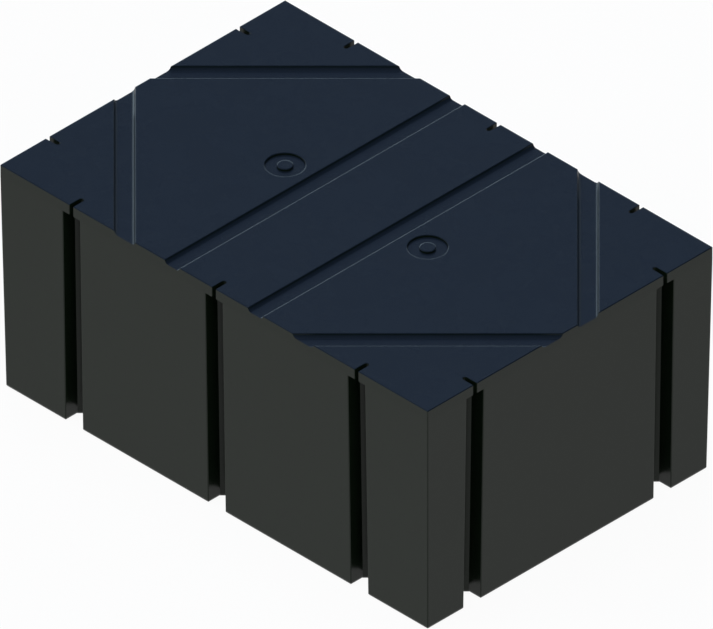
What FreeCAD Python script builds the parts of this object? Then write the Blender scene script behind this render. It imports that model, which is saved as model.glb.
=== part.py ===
import FreeCAD, Part
import math
import os

import Sketcher
from FreeCAD import Placement, Rotation, Vector

# Dock float drum: a sealed plastic float that carries a dock frame on the water. Its shell is
# moulded in one piece, 36 by 24 inches and 16 1/4 inches high, with ten upright grooves for
# bolts and nuts, a flange with a bolt slot over each groove, six drain channels across the
# deck, and two round recesses that each hold a vent plug.
#
# The origin is the middle of the flat bottom. +X runs along the long side, +Y along the short
# side and +Z up to the deck. Lengths are in millimetres and angles in degrees.

INCH = 25.4

SIZES = [
    ("long_side", 36 * INCH),
    ("short_side", 24 * INCH),
    ("total_height", 16.25 * INCH),
    ("flange_height", 0.75 * INCH),
    ("wall_draft", 0.94),
    ("bottom_round", 0.3125 * INCH),
    ("edge_round", 0.0625 * INCH),
    ("long_side_count", 3),
    ("long_side_pitch", 12 * INCH),
    ("short_side_count", 2),
    ("short_side_pitch", 16 * INCH),
    ("groove_width", 36.0),
    ("groove_depth", 1 * INCH),
    ("groove_bevel", 0.5 * INCH),
    ("slot_width", 0.3125 * INCH),
    ("slot_reach", 1 * INCH),
    ("slot_bevel", 0.0234375 * INCH),
    ("channel_width", 1.25 * INCH),
    ("channel_depth", 0.25 * INCH),
    ("channel_foot", 0.25 * INCH),
    ("channel_pitch", 7 * INCH),
    ("corner_reach", 10.5 * INCH),
    ("recess_pitch", 12 * INCH),
    ("recess_bore", 2.4375 * INCH),
    ("recess_depth", 0.15625 * INCH),
    ("plug_head", 1 * INCH),
    ("plug_shank", 0.75 * INCH),
    ("plug_reach", 0.375 * INCH),
    ("plug_gap", 0.2),
    ("plug_bevel", 0.03125 * INCH),
]

doc = FreeCAD.newDocument("DockFloatDrum")
sheet = doc.addObject("Spreadsheet::Sheet", "Sizes")
for row, (alias, number) in enumerate(SIZES, start=1):
    sheet.set("A%d" % row, alias)
    sheet.set("B%d" % row, "%.7g" % number)
    sheet.setAlias("B%d" % row, alias)
doc.recompute()


class Size:
    """A length known twice: as a number, and as the expression that ties it to the sheet."""

    def __init__(self, number, text):
        self.number = number
        self.text = text

    def __add__(self, other):
        return Size(self.number + other.number, "(%s + %s)" % (self.text, other.text))

    def __sub__(self, other):
        return Size(self.number - other.number, "(%s - %s)" % (self.text, other.text))

    def __mul__(self, other):
        return Size(self.number * other.number, "(%s * %s)" % (self.text, other.text))

    def __neg__(self):
        return Size(-self.number, "(-%s)" % self.text)

    def half(self):
        """Return half this size."""
        return Size(self.number / 2, "(%s / 2)" % self.text)


def size(alias):
    """Return one of the sheet's sizes."""
    return Size(float(sheet.get(alias)), "Sizes." + alias)


ZERO = Size(0, "0")
ONE = Size(1, "1")

# How far a cutting outline starts outside the solid, so that it cuts cleanly

CLEAR = Size(10, "10")

# Sizes that several pieces share

half_long = size("long_side").half()
half_short = size("short_side").half()
deck_height = size("total_height")
flange_base = deck_height - size("flange_height")
draft = size("wall_draft")
lean = Size(math.tan(math.radians(draft.number)), "tan(%s * 1 deg)" % draft.text)
inset = flange_base * lean
rounding = size("edge_round")
vent_place = size("recess_pitch").half()
recess_floor = deck_height - size("recess_depth")


# Sketching helpers


def bind(item, prop, value):
    """Tie a property to a size."""
    item.setExpression(prop, value.text)


def origin_feature(body, role):
    """Return the origin plane or axis of a body that has this role."""
    return next(item for item in body.Origin.OriginFeatures if item.Role == role)


def new_sketch(body, name, role, rotation=Rotation(), **base):
    """Attach a sketch to an origin plane, turned, and moved by the sizes in base."""
    sketch = body.newObject("Sketcher::SketchObject", name)
    sketch.AttachmentSupport = (origin_feature(body, role), [""])
    sketch.MapMode = "FlatFace"
    sketch.AttachmentOffset = Placement(Vector(), rotation)
    for axis, place in base.items():
        bind(sketch, "AttachmentOffset.Base." + axis, place)
    return sketch


def constrain(sketch, kind, *places, value):
    """Add a constraint whose value follows a size."""
    index = sketch.addConstraint(Sketcher.Constraint(kind, *places, value.number))
    bind(sketch, "Constraints[%d]" % index, value)


def pin(sketch, edge, end, place):
    """Hold a point of a sketch at two sizes from the sketch's origin."""
    constrain(sketch, "DistanceX", -1, 1, edge, end, value=place[0])
    constrain(sketch, "DistanceY", -1, 1, edge, end, value=place[1])


def point(place):
    """Return the point that two sizes give."""
    return Vector(place[0].number, place[1].number, 0)


def outline(sketch, corners, centres=None):
    """Draw a closed outline through corners.

    An edge is counted from the corner where it starts. It is straight, or a quarter circle
    where centres gives the circle's centre. A sketch keeps every arc counterclockwise, so an
    arc that the outline follows clockwise is drawn from its far end.
    """
    centres = centres or {}
    starts = []
    for edge, corner in enumerate(corners):
        first = point(corner)
        second = point(corners[(edge + 1) % len(corners)])
        clockwise = False
        if edge in centres:
            centre = point(centres[edge])
            spokes = (first - centre, second - centre)
            middle = centre + (spokes[0] + spokes[1]) * math.sqrt(0.5)
            clockwise = spokes[0].cross(spokes[1]).z < 0
            ends = (second, first) if clockwise else (first, second)
            sketch.addGeometry(Part.Arc(ends[0], middle, ends[1]), False)
        else:
            sketch.addGeometry(Part.LineSegment(first, second), False)
        starts.append(2 if clockwise else 1)
    for edge, corner in enumerate(corners):
        following = (edge + 1) % len(corners)
        meeting = (edge, 3 - starts[edge], following, starts[following])
        sketch.addConstraint(Sketcher.Constraint("Coincident", *meeting))
        pin(sketch, edge, starts[edge], corner)
    for edge, centre in centres.items():
        constrain(sketch, "DistanceX", -1, 1, edge, 3, value=centre[0])


def circle(sketch, centre, diameter):
    """Draw a circle."""
    drawn = Part.Circle(point(centre), Vector(0, 0, 1), diameter.number / 2)
    edge = sketch.addGeometry(drawn, False)
    pin(sketch, edge, 3, centre)
    constrain(sketch, "Diameter", edge, value=diameter)


# Feature helpers


def pocket(body, name, sketch, length=None, toward=None):
    """Cut a sketch's outline out of a body, to a length or right through it.

    toward gives the direction of a leaning cut. Without it the cut is square to the sketch.
    """
    cut = body.newObject("PartDesign::Pocket", name)
    cut.Profile = sketch
    if length:
        bind(cut, "Length", length)
    else:
        cut.Type = "ThroughAll"
    if toward:
        cut.UseCustomVector = True
        for axis, part in zip("xyz", toward):
            bind(cut, "Direction." + axis, part)
    doc.recompute()
    return cut


def transform(body, name, feature, *steps):
    """Copy a feature by one or more patterns or mirrors."""
    copies = body.newObject("PartDesign::MultiTransform", name)
    copies.Originals = [feature]
    copies.Transformations = steps
    body.Tip = copies
    doc.recompute()


def mirror(body, name, role):
    """Return a mirror at one of a body's upright origin planes."""
    step = body.newObject("PartDesign::Mirrored", name + role[:2])
    step.MirrorPlane = (origin_feature(body, role), [""])
    return step


def dress(body, kind, name, prop, value, is_chosen):
    """Round or bevel the edges of a body that a function chooses."""
    base = body.Tip
    edges = enumerate(base.Shape.Edges, start=1)
    names = ["Edge%d" % index for index, edge in edges if is_chosen(edge)]
    dressed = body.newObject(kind, name)
    dressed.Base = (base, names)
    bind(dressed, prop, value)
    body.Tip = dressed
    doc.recompute()


# The four sides are alike. A side's sketches lie on its face at the first groove, with the
# horizontal axis along the side and the vertical axis pointing inward. Down the drafted wall
# is straight down with a lean inward, and the tilt turns a sketch square to that.

LONG_SIDE = {
    "name": "Long",
    "rotation": Rotation(),
    "tilt": Rotation(Vector(1, 0, 0), draft.number),
    "down_wall": (ZERO, lean, -ONE),
    "along": "x",
    "inward": "y",
    "face": -half_short,
    "count": size("long_side_count"),
    "pitch": size("long_side_pitch"),
    "row_sense": -ONE,
    "mirror": "XZ_Plane",
}
SHORT_SIDE = {
    "name": "Short",
    "rotation": Rotation(Vector(0, 0, 1), -90),
    "tilt": Rotation(Vector(0, 1, 0), -draft.number),
    "down_wall": (lean, ZERO, -ONE),
    "along": "y",
    "inward": "x",
    "face": -half_long,
    "count": size("short_side_count"),
    "pitch": size("short_side_pitch"),
    "row_sense": ONE,
    "mirror": "YZ_Plane",
}
SIDES = (LONG_SIDE, SHORT_SIDE)


def side_sketch(body, side, name, height, rotation=None):
    """Return a sketch at the first groove of a side, at a height."""
    row_half = (side["pitch"] * (side["count"] - ONE)).half()
    base = {
        side["along"]: row_half * side["row_sense"],
        side["inward"]: side["face"],
        "z": height,
    }
    return new_sketch(body, side["name"] + name, "XY_Plane", rotation or side["rotation"], **base)


def repeat_on_side(body, side, name, feature, sketch):
    """Repeat a feature along its side, and mirror the row onto the side opposite."""
    row = body.newObject("PartDesign::LinearPattern", side["name"] + name + "Row")
    row.Direction = (sketch, ["H_Axis"])
    row.Mode = "Spacing"
    bind(row, "Offset", side["pitch"])
    bind(row, "Occurrences", side["count"])
    opposite = mirror(body, side["name"] + name, side["mirror"])
    transform(body, side["name"] + name + "s", feature, row, opposite)


# Hull: drafted walls from the flat bottom up to the flange, with ten upright grooves

# How near two heights or planes have to be to count as the same

TOUCH = 1e-4


def lies_at(edge, height):
    """Tell whether a whole edge lies at one height."""
    box = edge.BoundBox
    return abs(box.ZMin - height.number) < TOUCH and abs(box.ZMax - height.number) < TOUCH


def raise_walls(body):
    """Make the hull's block, whose four walls lean out evenly from the bottom up."""
    walls = body.newObject("PartDesign::AdditiveWedge", "Walls")
    walls.AttachmentSupport = (origin_feature(body, "XY_Plane"), [""])
    walls.MapMode = "FlatFace"
    walls.AttachmentOffset = Placement(Vector(), Rotation(Vector(1, 0, 0), 90))
    places = {
        "Xmin": inset - half_long,
        "Xmax": half_long - inset,
        "X2min": -half_long,
        "X2max": half_long,
        "Zmin": inset - half_short,
        "Zmax": half_short - inset,
        "Z2min": -half_short,
        "Z2max": half_short,
        "Ymin": ZERO,
        "Ymax": flange_base,
    }
    for prop, place in places.items():
        setattr(walls, prop, place.number)
        bind(walls, prop, place)
    doc.recompute()


def cut_grooves(body, side):
    """Cut one side's grooves: straight walls, then two bevels that narrow to the back."""
    half, depth, bevel = size("groove_width").half(), size("groove_depth"), size("groove_bevel")
    sketch = side_sketch(body, side, "GrooveOutline", flange_base)
    outline(sketch, [
        (-half, -CLEAR),
        (half, -CLEAR),
        (half, depth),
        (half - bevel, depth + bevel),
        (bevel - half, depth + bevel),
        (-half, depth),
    ])
    groove = pocket(body, side["name"] + "Groove", sketch, toward=side["down_wall"])
    repeat_on_side(body, side, "Groove", groove, sketch)


def round_groove_lips(body, side):
    """Round the two upright lips of each of one side's grooves."""
    half = size("groove_width").half()
    rotation = side["tilt"] * side["rotation"]
    sketch = side_sketch(body, side, "LipOutline", flange_base, rotation)
    outline(sketch, [
        (-half - rounding, -CLEAR),
        (-half - rounding, ZERO),
        (-half, rounding),
        (half, rounding),
        (half + rounding, ZERO),
        (half + rounding, -CLEAR),
    ], {
        1: (-half - rounding, rounding),
        3: (half + rounding, rounding),
    })
    lips = pocket(body, side["name"] + "Lip", sketch)
    repeat_on_side(body, side, "Lip", lips, sketch)


def round_corners(body):
    """Round the hull's four upright corners."""
    base = {"x": half_long, "y": half_short, "z": flange_base}
    sketch = new_sketch(body, "CornerOutline", "XY_Plane", **base)
    outline(sketch, [
        (-rounding, ZERO),
        (ZERO, -rounding),
        (CLEAR, -rounding),
        (CLEAR, CLEAR),
        (-rounding, CLEAR),
    ], {0: (-rounding, -rounding)})
    corner = pocket(body, "Corner", sketch, toward=(-lean, -lean, -ONE))
    mirrors = [mirror(body, "Corner", role) for role in ("XZ_Plane", "YZ_Plane")]
    transform(body, "Corners", corner, *mirrors)


def raise_collar(body):
    """Carry the hull's outline a little way up inside the slab above it.

    The slab's lower edge is rounded all round, and the collar fills that rounding again
    except across the grooves, where the flange really has a free edge.
    """
    heights = [face.BoundBox.ZMin for face in body.Shape.Faces]
    top_face = "Face%d" % (heights.index(max(heights)) + 1)
    top = (body.Tip, [top_face])
    collar = body.newObject("PartDesign::Pad", "Collar")
    collar.Profile = top
    bind(collar, "Length", rounding + rounding)
    body.Tip = collar
    doc.recompute()


hull = doc.addObject("PartDesign::Body", "Hull")
raise_walls(hull)
for pair in SIDES:
    cut_grooves(hull, pair)
bottom_round = size("bottom_round")
dress(hull, "PartDesign::Fillet", "BottomRounds", "Radius", bottom_round,
      lambda edge: lies_at(edge, ZERO))
for pair in SIDES:
    round_groove_lips(hull, pair)
round_corners(hull)
raise_collar(hull)

# Deck: a slab whose rim is the flange over the grooves, with slots, channels and recesses


def cut_slots(body, side):
    """Cut one side's bolt slots, open at the rim and round at the inner end."""
    half, reach = size("slot_width").half(), size("slot_reach")
    sketch = side_sketch(body, side, "SlotOutline", deck_height)
    outline(sketch, [
        (-half, -CLEAR),
        (half, -CLEAR),
        (half, reach - half),
        (ZERO, reach),
        (-half, reach - half),
    ], {
        2: (ZERO, reach - half),
        3: (ZERO, reach - half),
    })
    slot = pocket(body, side["name"] + "Slot", sketch)
    repeat_on_side(body, side, "Slot", slot, sketch)


def cut_channel(body, name, rotation, **base):
    """Cut a drain channel right across the slab: a flat floor between two rounded feet."""
    half, foot, depth = size("channel_width").half(), size("channel_foot"), size("channel_depth")
    sketch = new_sketch(body, name + "Section", "XZ_Plane", rotation, y=deck_height, **base)
    outline(sketch, [
        (-half, CLEAR),
        (-half, foot - depth),
        (foot - half, -depth),
        (half - foot, -depth),
        (half, foot - depth),
        (half, CLEAR),
    ], {
        1: (foot - half, foot - depth),
        3: (half - foot, foot - depth),
    })
    channel = pocket(body, name, sketch)
    channel.SideType = "Symmetric"
    doc.recompute()
    return channel


def on_rim(edge):
    """Tell whether both ends of an edge lie on the flange's upright outer faces."""
    ends = [vertex.Point for vertex in edge.Vertexes]
    on_long = all(abs(half_short.number - abs(end.y)) < TOUCH for end in ends)
    on_short = all(abs(half_long.number - abs(end.x)) < TOUCH for end in ends)
    return on_long or on_short


def at_corner(edge):
    """Tell whether an edge is one of the rim's four upright corners."""
    middle = edge.CenterOfMass
    return (abs(half_short.number - abs(middle.y)) < TOUCH
            and abs(half_long.number - abs(middle.x)) < TOUCH)


def is_slot_edge(edge):
    """Choose the edges of the slots: their tops, and the upright ones at their mouths."""
    if lies_at(edge, deck_height):
        return not on_rim(edge)
    return on_rim(edge) and not lies_at(edge, flange_base) and not at_corner(edge)


def middles(body, is_chosen):
    """Return the middle points of the edges that a function chooses."""
    return [edge.CenterOfMass for edge in body.Shape.Edges if is_chosen(edge)]


def is_marked(edge, marks):
    """Tell whether an edge's middle is one of these points."""
    middle = edge.CenterOfMass
    return any(middle.distanceToPoint(mark) < TOUCH for mark in marks)


deck = doc.addObject("PartDesign::Body", "Deck")
rim = new_sketch(deck, "Rim", "XY_Plane", z=flange_base)
outline(rim, [
    (-half_long, -half_short),
    (half_long, -half_short),
    (half_long, half_short),
    (-half_long, half_short),
])
slab = deck.newObject("PartDesign::Pad", "Slab")
slab.Profile = rim
bind(slab, "Length", size("flange_height"))
doc.recompute()
for pair in SIDES:
    cut_slots(deck, pair)
slot_edges = middles(deck, is_slot_edge)

cross_place = size("channel_pitch").half()
cross_channel = cut_channel(deck, "CrossChannel", Rotation(), x=cross_place)
transform(deck, "CrossChannels", cross_channel, mirror(deck, "CrossChannel", "YZ_Plane"))
half_reach = size("corner_reach").half()
eighth_turn = Rotation(Vector(0, 1, 0), -45)
corner_place = {"x": half_long - half_reach, "z": half_short - half_reach}
corner_channel = cut_channel(deck, "CornerChannel", eighth_turn, **corner_place)
mirrors = [mirror(deck, "CornerChannel", role) for role in ("XZ_Plane", "YZ_Plane")]
transform(deck, "CornerChannels", corner_channel, *mirrors)

recess_outline = new_sketch(deck, "RecessOutline", "XY_Plane", z=deck_height)
circle(recess_outline, (vent_place, ZERO), size("recess_bore"))
recess = pocket(deck, "Recess", recess_outline, length=size("recess_depth"))
transform(deck, "Recesses", recess, mirror(deck, "Recess", "YZ_Plane"))

inner_edges = middles(deck, lambda edge: (
    lies_at(edge, deck_height) and not on_rim(edge) and not is_marked(edge, slot_edges)))


def is_deck_edge(edge):
    """Choose the rim's outer edges, and the deck's edges at its channels and recesses."""
    if on_rim(edge):
        return lies_at(edge, deck_height) or lies_at(edge, flange_base) or at_corner(edge)
    return is_marked(edge, inner_edges)


dress(deck, "PartDesign::Chamfer", "SlotBevels", "Size", size("slot_bevel"),
      lambda edge: is_marked(edge, slot_edges))
dress(deck, "PartDesign::Fillet", "DeckRounds", "Radius", rounding, is_deck_edge)

# Shell: hull and deck as one moulding, with a round hole in each recess for a plug's shank


def vent_hole(name, place):
    """Return the hole for one plug's shank, from above the recess floor downward."""
    reach = size("plug_reach") + size("plug_gap")
    hole = doc.addObject("Part::Cylinder", name)
    bind(hole, "Radius", size("plug_shank").half() + size("plug_gap"))
    bind(hole, "Height", reach + size("recess_depth"))
    bind(hole, "Placement.Base.x", place)
    bind(hole, "Placement.Base.z", recess_floor - reach)
    return hole


moulding = doc.addObject("Part::MultiFuse", "Moulding")
moulding.Shapes = [hull, deck]
moulding.Refine = True
vents = doc.addObject("Part::Compound", "Vents")
vents.Links = [vent_hole("LeftVent", -vent_place), vent_hole("RightVent", vent_place)]
shell = doc.addObject("Part::Cut", "Shell")
shell.Label = "float_shell"
shell.Base = moulding
shell.Tool = vents
doc.recompute()

# Vent plugs: a round head that seats on the recess floor and ends flush with the deck, and a
# shank in the hole below it


def make_plug(label, place):
    """Turn one plug, and seat it in its recess."""
    head, shank = size("plug_head").half(), size("plug_shank").half()
    rise, reach, bevel = size("recess_depth"), size("plug_reach"), size("plug_bevel")
    body = doc.addObject("PartDesign::Body", "Plug")
    body.Label = label
    profile = new_sketch(body, "PlugProfile", "XZ_Plane")
    outline(profile, [
        (ZERO, -reach),
        (shank - bevel, -reach),
        (shank, bevel - reach),
        (shank, ZERO),
        (head, ZERO),
        (head, rise - bevel),
        (head - bevel, rise),
        (ZERO, rise),
    ])
    turned = body.newObject("PartDesign::Revolution", "Turned")
    turned.Profile = profile
    turned.ReferenceAxis = (profile, ["V_Axis"])
    turned.Angle = 360
    bind(body, "Placement.Base.x", place)
    bind(body, "Placement.Base.z", recess_floor)
    doc.recompute()
    return body


plugs = [make_plug("vent_plug_left", -vent_place), make_plug("vent_plug_right", vent_place)]

# Checks, then one file for each piece

CUBIC_MM_PER_LITRE = 1e6

for item in doc.Objects:
    if "Invalid" in item.State or "Error" in item.State:
        raise RuntimeError("%s failed: %s" % (item.Name, item.State))

os.makedirs("parts", exist_ok=True)
for piece in [shell] + plugs:
    shape = piece.Shape
    if shape.isNull() or not shape.isValid() or len(shape.Solids) != 1:
        raise RuntimeError("%s is not one valid solid" % piece.Label)
    litres = shape.Volume / CUBIC_MM_PER_LITRE
    print("%s: %.4f litres, %d faces" % (piece.Label, litres, len(shape.Faces)))
    shape.exportStep("parts/%s.step" % piece.Label)
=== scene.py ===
# %% [markdown]
# The dock float drum
#
# A float drum carries a floating dock. It is a sealed box of black plastic, moulded in one
# piece, with upright grooves down its sides for bolts, a flange with a slot over each groove,
# drain channels across its deck and two round vent plugs. The shell's shape comes from the
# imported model, which already has the right rounds and bevels. So the work here is the plastic
# itself, the soft rims of the plugs, the floor, the light and the camera.

# %% Load the frame
import math

import bmesh
import bpy
import numpy as np
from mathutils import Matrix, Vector


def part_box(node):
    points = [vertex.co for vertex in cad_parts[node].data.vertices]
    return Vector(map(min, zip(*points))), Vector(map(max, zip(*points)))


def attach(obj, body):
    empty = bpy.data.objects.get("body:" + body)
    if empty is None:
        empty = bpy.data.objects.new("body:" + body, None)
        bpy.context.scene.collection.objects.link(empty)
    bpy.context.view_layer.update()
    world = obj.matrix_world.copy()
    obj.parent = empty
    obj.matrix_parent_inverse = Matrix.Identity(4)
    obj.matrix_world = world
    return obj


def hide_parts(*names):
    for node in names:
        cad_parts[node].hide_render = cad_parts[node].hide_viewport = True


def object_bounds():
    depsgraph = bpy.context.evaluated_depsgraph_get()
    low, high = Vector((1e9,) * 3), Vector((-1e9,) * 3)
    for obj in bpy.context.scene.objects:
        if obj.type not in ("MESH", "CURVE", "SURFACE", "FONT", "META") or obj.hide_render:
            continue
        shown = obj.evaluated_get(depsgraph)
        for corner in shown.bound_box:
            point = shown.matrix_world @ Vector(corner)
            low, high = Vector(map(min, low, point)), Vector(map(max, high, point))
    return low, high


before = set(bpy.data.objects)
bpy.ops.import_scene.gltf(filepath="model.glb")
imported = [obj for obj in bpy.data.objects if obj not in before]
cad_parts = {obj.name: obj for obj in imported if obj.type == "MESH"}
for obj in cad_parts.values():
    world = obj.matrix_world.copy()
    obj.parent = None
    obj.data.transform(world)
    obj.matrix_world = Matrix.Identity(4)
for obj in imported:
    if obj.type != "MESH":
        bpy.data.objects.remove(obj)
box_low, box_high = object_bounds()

MM = 0.001
long_side, short_side, total_height = box_high - box_low
print("float drum: %.1f x %.1f x %.1f mm" % (long_side / MM, short_side / MM, total_height / MM))
print("pieces:", ", ".join(sorted(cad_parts)))

# %% [markdown]
# Building with arrays
#
# A surface here is a grid of points that a formula gives for two parameters. Numpy works the
# whole grid out at once, and one list of four-cornered faces joins neighbouring points. That
# is quicker than adding vertices one by one, and the formula stays readable.


# %% Grid surfaces
def grid_faces(rows, columns):
    """Faces of a grid of points: each joins point (i, j) to its neighbours at i + 1 and j + 1.

    The columns run round the form, so the last one joins the first one again.
    """
    row, column = np.meshgrid(np.arange(rows - 1), np.arange(columns), indexing="ij")
    following = (column + 1) % columns
    corners = (row * columns + column, (row + 1) * columns + column,
               (row + 1) * columns + following, row * columns + following)
    return np.stack(corners, axis=-1).reshape(-1, 4)


def make_mesh(name, points, faces):
    """A mesh object whose place is in its points, at the origin and unturned."""
    mesh = bpy.data.meshes.new(name)
    mesh.from_pydata(points.reshape(-1, 3).tolist(), [], faces.tolist())
    mesh.validate()
    made = bpy.data.objects.new(name, mesh)
    bpy.context.scene.collection.objects.link(made)
    return made


# %% [markdown]
# Nodes by name
#
# A material is a small network of nodes. One helper adds a node, sets its values and joins its
# inputs, so that each material below reads as a list of what it is made of.


# %% Shader helpers
SPAN_INPUTS = ("From Min", "From Max", "To Min", "To Max")

# A Mix node has sockets for every kind of value, and these are its sockets for colours

COLOUR_MIX_INPUTS = ("0", "6", "7")
COLOUR_MIX_OUTPUT = 2


class Shader:
    """A node network that is being built, with short ways to add to it."""

    def __init__(self, tree):
        self.tree = tree
        tree.nodes.clear()

    def add(self, kind, settings=None, **inputs):
        """Add a node. An input is given by its name, and takes a value or another socket."""
        node = self.tree.nodes.new("ShaderNode" + kind)
        for key, value in (settings or {}).items():
            setattr(node, key, value)
        for key, value in inputs.items():
            self.feed(node, key.replace("_", " "), value)
        return node

    def feed(self, node, key, value):
        """Give one input of a node a value, or a link from another socket."""
        socket = node.inputs[int(key)] if key.isdigit() else node.inputs[key]
        if isinstance(value, bpy.types.NodeSocket):
            self.tree.links.new(value, socket)
        else:
            socket.default_value = value

    def maths(self, operation, first, second):
        """Return what an operation makes of two numbers."""
        node = self.add("Math", {"operation": operation})
        self.feed(node, "0", first)
        self.feed(node, "1", second)
        return node.outputs[0]

    def span(self, value, source, target=(0.0, 1.0)):
        """Return a value carried smoothly from the source range to the target range."""
        node = self.add("MapRange", {"interpolation_type": "SMOOTHSTEP"}, Value=value)
        for key, number in zip(SPAN_INPUTS, source + target):
            self.feed(node, key, number)
        return node.outputs[0]

    def blend(self, share, first, second):
        """Return one colour going over to another as share goes from 0 to 1."""
        node = self.add("Mix", {"data_type": "RGBA"})
        for key, value in zip(COLOUR_MIX_INPUTS, (share, first, second)):
            self.feed(node, key, value)
        return node.outputs[COLOUR_MIX_OUTPUT]


def colour(red, green, blue):
    """Return a colour with full cover."""
    return (red, green, blue, 1.0)


def new_material(name):
    """Return a material and the shader that builds it."""
    material = bpy.data.materials.new(name)
    material.use_nodes = True
    return material, Shader(material.node_tree)


# %% [markdown]
# The plastic
#
# The real float is black polyethylene, moulded hot against a metal mould. It is nearly black,
# so most of what one sees is a soft reflection. The walls are a green-grey charcoal. The deck
# looks slate blue, partly from a real reflection of the blue sky and partly from a painted sky
# reflection: faces that look up are given a blue colour that the plastic itself doesn't have.
# The mould leaves a faint grain, and the cooling plastic pulls into long shallow waves. A
# picture of grain could be wrapped round it, but noises have no seams and keep their scale on
# every face.
# Three are enough: a slow one that varies the colour, a middle one for the waves and a fine one
# for the grain. They read Object coordinates, so they stay on the piece.

# %% Moulded plastic
WALL_TINT = colour(0.0050, 0.0095, 0.0044)
# The next colour is a painted sky reflection: slate blue, which the plastic doesn't have, given
# to faces that look up.
PAINTED_SKY_BLUE = colour(0.0074, 0.0121, 0.0201)
PAINTED_SKY_LEAN = (0.0, 0.7)
PLASTIC_IOR = 1.45
PLASTIC_SPECULAR = 0.25
ROUGHNESS = 0.20
ROUGHNESS_SWING = 0.01
NOISE_RANGE = (0.3, 0.7)
SHADE_SCALE = 14.0
SHADE_RANGE = (0.97, 1.03)
WAVE_SCALE = 60.0
WAVE_STRENGTH = 0.05
WAVE_HEIGHT = 0.2 * MM
GRAIN_SCALE = 900.0
GRAIN_HEIGHT = 0.04 * MM
SHELL_GRAIN = 0.15
PLUG_GRAIN = 0.08


def noise(shader, place, scale, detail=2.0):
    """Return a noise on Object coordinates, with scale as its lumps to the metre."""
    node = shader.add("TexNoise", Vector=place.outputs["Object"], Scale=scale, Detail=detail)
    return node.outputs["Fac"]


def moulded_plastic(name, grain):
    """Black moulded plastic. Upward faces get a painted blue sky reflection, the others the
    walls' colour.
    """
    material, shader = new_material(name)
    place = shader.add("TexCoord")
    # Upward faces blend into the painted sky reflection in slate blue; the walls keep the
    # plastic's own charcoal.
    upward = shader.add("SeparateXYZ", Vector=place.outputs["Normal"]).outputs["Z"]
    colour_with_painted_sky = shader.blend(shader.span(upward, PAINTED_SKY_LEAN), WALL_TINT, PAINTED_SKY_BLUE)
    shade = shader.span(noise(shader, place, SHADE_SCALE, detail=3.0), NOISE_RANGE, SHADE_RANGE)
    toned = shader.add("VectorMath", {"operation": "SCALE"})
    shader.feed(toned, "0", colour_with_painted_sky)
    shader.feed(toned, "Scale", shade)
    wave = noise(shader, place, WAVE_SCALE)
    gloss = shader.span(wave, NOISE_RANGE,
                        (ROUGHNESS - ROUGHNESS_SWING, ROUGHNESS + ROUGHNESS_SWING))
    waves = shader.add("Bump", Strength=WAVE_STRENGTH, Distance=WAVE_HEIGHT, Height=wave)
    grained = shader.add("Bump", Strength=grain, Distance=GRAIN_HEIGHT,
                         Height=noise(shader, place, GRAIN_SCALE), Normal=waves.outputs[0])
    body = shader.add("BsdfPrincipled", Base_Color=toned.outputs[0], Roughness=gloss,
                      IOR=PLASTIC_IOR, Normal=grained.outputs[0])
    body.inputs["Specular IOR Level"].default_value = PLASTIC_SPECULAR
    shader.add("OutputMaterial", Surface=body.outputs[0])
    return material


def dress(node, material):
    """Give every material slot of a piece this material."""
    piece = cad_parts[node]
    for slot in piece.material_slots:
        slot.material = material
    print("%s: %d faces in %s" % (node, len(piece.data.polygons), material.name))


shell_plastic = moulded_plastic("shell_plastic", SHELL_GRAIN)
dress("float_shell", shell_plastic)

# %% [markdown]
# The vent plugs
#
# A round plug closes each hole that let air out of the hot mould. Only its head shows, level
# with the deck in its recess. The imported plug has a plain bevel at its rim, but a moulded rim
# is softly rounded, and the rounding catches the light as a fine ring. A cylinder with a Bevel
# modifier would do, but a turned profile keeps every radius in one short list of points. The
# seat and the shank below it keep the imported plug's sizes, which are simple parts of an inch.

# %% Plug profile
INCH = 25.4 * MM
HEAD_RISE = 5 / 32 * INCH
SHANK_RADIUS = 3 / 8 * INCH
SHANK_BEVEL = 1 / 32 * INCH
RIM_WIDTH = 2.0 * MM
RIM_DROP = 1.2 * MM
RIM_STEPS = 13
RIM_MARGIN = 0.3 * MM
SPOKES = 96


def plug_profile(low, high, head_radius):
    """Half of the plug's outline as (radius, height) pairs, from the top's middle downward.

    The rim is a quarter of an ellipse: radius = head_radius - width + width * sin(a) and
    height = high - drop + drop * cos(a), for a from 0 to a right angle. Being wider than deep,
    it turns its upper part slowly. The margin point keeps the top flat.
    """
    turn = np.linspace(0.0, np.pi / 2, RIM_STEPS)
    rim = np.column_stack((head_radius - RIM_WIDTH + RIM_WIDTH * np.sin(turn),
                           high - RIM_DROP + RIM_DROP * np.cos(turn)))
    top = [(0.0, high), (head_radius - RIM_WIDTH - RIM_MARGIN, high)]
    seat = high - HEAD_RISE
    below = [(head_radius, seat), (SHANK_RADIUS, seat), (SHANK_RADIUS, low + SHANK_BEVEL),
             (SHANK_RADIUS - SHANK_BEVEL, low), (0.0, low)]
    return np.vstack((top, rim, below))


def turned(profile, middle_x, middle_y):
    """Carry a profile round an upright axis.

    x = middle_x + radius * cos(t) and y = middle_y + radius * sin(t), for t round the circle.
    """
    turn = np.linspace(0.0, 2.0 * np.pi, SPOKES, endpoint=False)
    radius, angle = np.meshgrid(profile[:, 0], turn, indexing="ij")
    height = np.broadcast_to(profile[:, 1:], radius.shape)
    return np.stack((middle_x + radius * np.cos(angle), middle_y + radius * np.sin(angle),
                     height), axis=-1)


# %% Turned plugs
POLE_GAP = 0.001 * MM
CREASE = math.radians(30.0)


def close_poles(mesh):
    """Merge the points that lie on the axis, where all the spokes meet."""
    work = bmesh.new()
    work.from_mesh(mesh)
    bmesh.ops.remove_doubles(work, verts=work.verts, dist=POLE_GAP)
    work.to_mesh(mesh)
    work.free()


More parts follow.
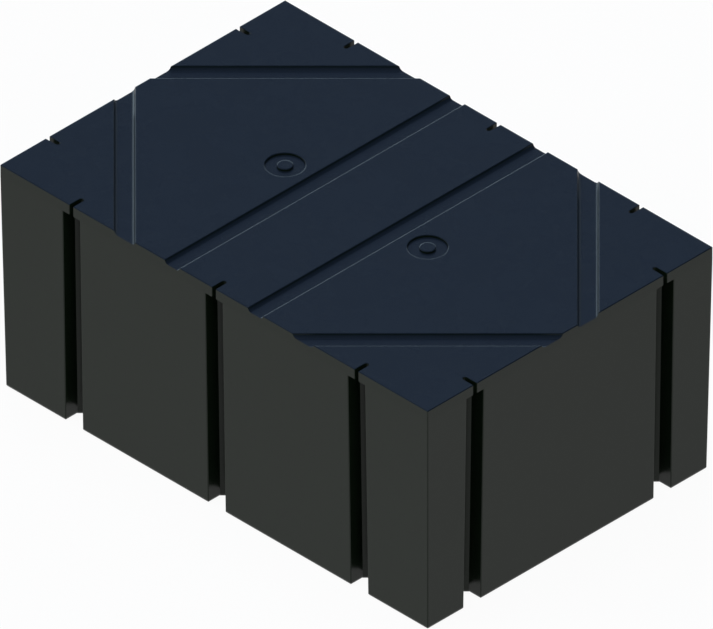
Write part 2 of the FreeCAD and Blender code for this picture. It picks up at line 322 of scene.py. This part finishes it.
def turned_plug(node, name, material):
    """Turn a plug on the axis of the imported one, and let it stand for that."""
    low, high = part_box(node)
    head_radius = (high[0] - low[0]) / 2
    profile = plug_profile(low[2], high[2], head_radius)
    points = turned(profile, (low[0] + high[0]) / 2, (low[1] + high[1]) / 2)
    piece = make_mesh(name, points, grid_faces(len(points), SPOKES))
    close_poles(piece.data)
    piece.data.shade_smooth()
    piece.data.set_sharp_from_angle(angle=CREASE)
    piece.data.materials.append(material)
    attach(piece, "root")
    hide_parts(node)
    print("%s: head %.1f mm across, %d faces"
          % (name, 2 * head_radius / MM, len(piece.data.polygons)))


plug_plastic = moulded_plastic("plug_plastic", PLUG_GRAIN)
for side in ("left", "right"):
    turned_plug("vent_plug_" + side, "turned_plug_" + side, plug_plastic)

# %% [markdown]
# The floor
#
# The float stands on a plain pale floor. A square plane would do, but a wide disc keeps its
# edge equally far off on every side. The camera sees it almost as white paper, with a little
# of its matt paint mixed in, which carries the float's soft shadow. The gloss of the walls
# mirrors the floor all the way up, because one looks down on them, so the grey that the gloss
# sees here sets how light the walls look. A Light Path node tells these rays apart.

# %% Floor
FLOOR_REACH = 12.0
FLOOR_RINGS = 24
FLOOR_SPOKES = 96
FLOOR_COLOUR = colour(0.80, 0.80, 0.80)
WHITE = colour(1.0, 1.0, 1.0)
SEEN_WHITE = 0.95
MIRRORED_GREY = colour(0.80, 0.80, 0.80)


def floor_points(rings, spokes, reach, height):
    """A flat disc: rings whose radius grows with the square of their number."""
    share = np.linspace(0.0, 1.0, rings) ** 2
    turn = np.linspace(0.0, 2.0 * np.pi, spokes, endpoint=False)
    radius, angle = np.meshgrid(reach * share, turn, indexing="ij")
    return np.stack((radius * np.cos(angle), radius * np.sin(angle),
                     np.full_like(radius, height)), axis=-1)


def in_view(shader, path):
    """Return 1 for rays from the camera, straight or through glass, and 0 for the others."""
    return shader.maths("MAXIMUM", path["Is Camera Ray"], path["Is Transmission Ray"])


def pale_floor():
    """Matt pale paint that the camera and glass see as nearly white, and gloss as pale grey."""
    material, shader = new_material("pale_floor")
    path = shader.add("LightPath").outputs
    paper = shader.blend(path["Is Glossy Ray"], WHITE, MIRRORED_GREY)
    matt = shader.add("BsdfDiffuse", Color=FLOOR_COLOUR)
    plain = shader.add("Emission", Color=paper, Strength=1.0)
    mixed = shader.add("MixShader")
    share = shader.maths("MULTIPLY", in_view(shader, path), SEEN_WHITE)
    shader.feed(mixed, "0", shader.maths("MAXIMUM", share, path["Is Glossy Ray"]))
    shader.feed(mixed, "1", matt.outputs[0])
    shader.feed(mixed, "2", plain.outputs[0])
    shader.add("OutputMaterial", Surface=mixed.outputs[0])
    return material


floor_grid = floor_points(FLOOR_RINGS, FLOOR_SPOKES, FLOOR_REACH, box_low.z)
floor = make_mesh("floor", floor_grid, grid_faces(FLOOR_RINGS, FLOOR_SPOKES))
floor.data.materials.append(pale_floor())
print("floor: %.0f m across, %d faces" % (2 * FLOOR_REACH, len(floor.data.polygons)))

# %% [markdown]
# The sky
#
# Black plastic shows its surroundings more than its own colour, so the sky does most of the
# work. It is dark towards the right and a soft blue towards the left, which is the part that
# the deck mirrors. A low bright strip behind the float, as a long lamp would make, catches
# only the rounded lips that face away, and draws a thin light line along each channel and
# around the recesses. Bright lamps in front would put white spots on the walls instead.

# %% Sky
SKY_DARK = colour(0.030, 0.055, 0.100)
SKY_PALE = colour(0.80, 0.93, 1.00)
SKY_DEEP = colour(0.21, 0.30, 0.49)
STRIP_LIGHT = colour(2.5, 3.25, 3.7)
STRIP_TOWARD = (-0.78, 0.62, 0.0)
STRIP_SIDES = (0.79, 0.96)
STRIP_HEIGHTS = (0.41, 0.31)
LEFT_SIDE = (0.0, -0.56)
LOW_PART = (0.52, 0.22)


def strip_share(shader, direction, height):
    """Return 1 inside the strip and 0 outside it.

    It lies where the direction is close to STRIP_TOWARD, by their dot product, and is low.
    """
    aimed = shader.add("VectorMath", {"operation": "DOT_PRODUCT"})
    shader.feed(aimed, "0", direction)
    shader.feed(aimed, "1", STRIP_TOWARD)
    sideways = shader.span(aimed.outputs["Value"], STRIP_SIDES)
    return shader.maths("MULTIPLY", sideways, shader.span(height, STRIP_HEIGHTS))


def studio_sky():
    """A sky with a dark side, a blue side that pales to its horizon, and a strip of light.

    The camera and glass see plain white instead.
    """
    world = bpy.data.worlds.new("studio_sky")
    world.use_nodes = True
    bpy.context.scene.world = world
    shader = Shader(world.node_tree)
    direction = shader.add("TexCoord").outputs["Generated"]
    along = shader.add("SeparateXYZ", Vector=direction).outputs
    leftward = shader.span(along["X"], LEFT_SIDE)
    lowness = shader.span(along["Z"], LOW_PART)
    toned = shader.blend(lowness, SKY_DEEP, SKY_PALE)
    toned = shader.blend(leftward, SKY_DARK, toned)
    toned = shader.blend(strip_share(shader, direction, along["Z"]), toned, STRIP_LIGHT)
    sky = shader.add("Background", Strength=1.0, Color=toned)
    white = shader.add("Background", Strength=1.0, Color=WHITE)
    mixed = shader.add("MixShader")
    shader.feed(mixed, "0", in_view(shader, shader.add("LightPath").outputs))
    shader.feed(mixed, "1", sky.outputs[0])
    shader.feed(mixed, "2", white.outputs[0])
    shader.add("OutputWorld", Surface=mixed.outputs[0])
    print("sky:", world.name)


studio_sky()

# %% [markdown]
# The lamps
#
# Three wide, weak suns give the walls their even tone and the floor its shadow. A sun has no
# place, only a direction, and its angle makes it a soft box of any width. The gloss doesn't
# see them, so they leave no bright spots on the plastic.

# %% Lamps
def soft_sun(name, toward, strength, spread_degrees):
    """A white lamp as wide as spread_degrees, shining from toward onto the origin."""
    lamp = bpy.data.lights.new(name, "SUN")
    lamp.energy = strength
    lamp.angle = math.radians(spread_degrees)
    holder = bpy.data.objects.new(name, lamp)
    holder.visible_glossy = False
    holder.rotation_mode = "QUATERNION"
    holder.rotation_quaternion = Vector(toward).to_track_quat("Z", "Y")
    bpy.context.scene.collection.objects.link(holder)
    print("lamp: %s, strength %.1f" % (name, strength))


soft_sun("overhead", toward=(0.1, -0.2, 1.0), strength=1.5, spread_degrees=60.0)
soft_sun("front_left", toward=(-0.6, -1.0, 0.5), strength=0.6, spread_degrees=50.0)
soft_sun("front_right", toward=(1.0, -0.3, 0.5), strength=0.5, spread_degrees=50.0)

# %% [markdown]
# The camera
#
# The photograph is a true isometric view: parallel rays that look along a cube's diagonal, so
# the three directions of the box are equally shortened. An orthographic camera gives that.

# %% Camera
PHOTO_WIDTH = 713
PIXELS_PER_METRE = 661.6
AIM_RIGHT = 0.15 * MM
AIM_UP = 4.06 * MM
CAMERA_DISTANCE = 4.0

back = Vector((1.0, -1.0, 1.0)).normalized()
right = Vector((1.0, 1.0, 0.0)).normalized()
up = back.cross(right)
camera_data = bpy.data.cameras.new("camera")
camera_data.type = "ORTHO"
camera_data.ortho_scale = PHOTO_WIDTH / PIXELS_PER_METRE
camera = bpy.data.objects.new("camera", camera_data)
middle = (box_low + box_high) / 2
camera.location = middle + right * AIM_RIGHT + up * AIM_UP + back * CAMERA_DISTANCE
camera.rotation_mode = "QUATERNION"
camera.rotation_quaternion = back.to_track_quat("Z", "Y")
bpy.context.scene.collection.objects.link(camera)
bpy.context.scene.camera = camera
bpy.context.scene.view_settings.view_transform = "Standard"
print("camera: the picture is %.3f m wide" % camera_data.ortho_scale)
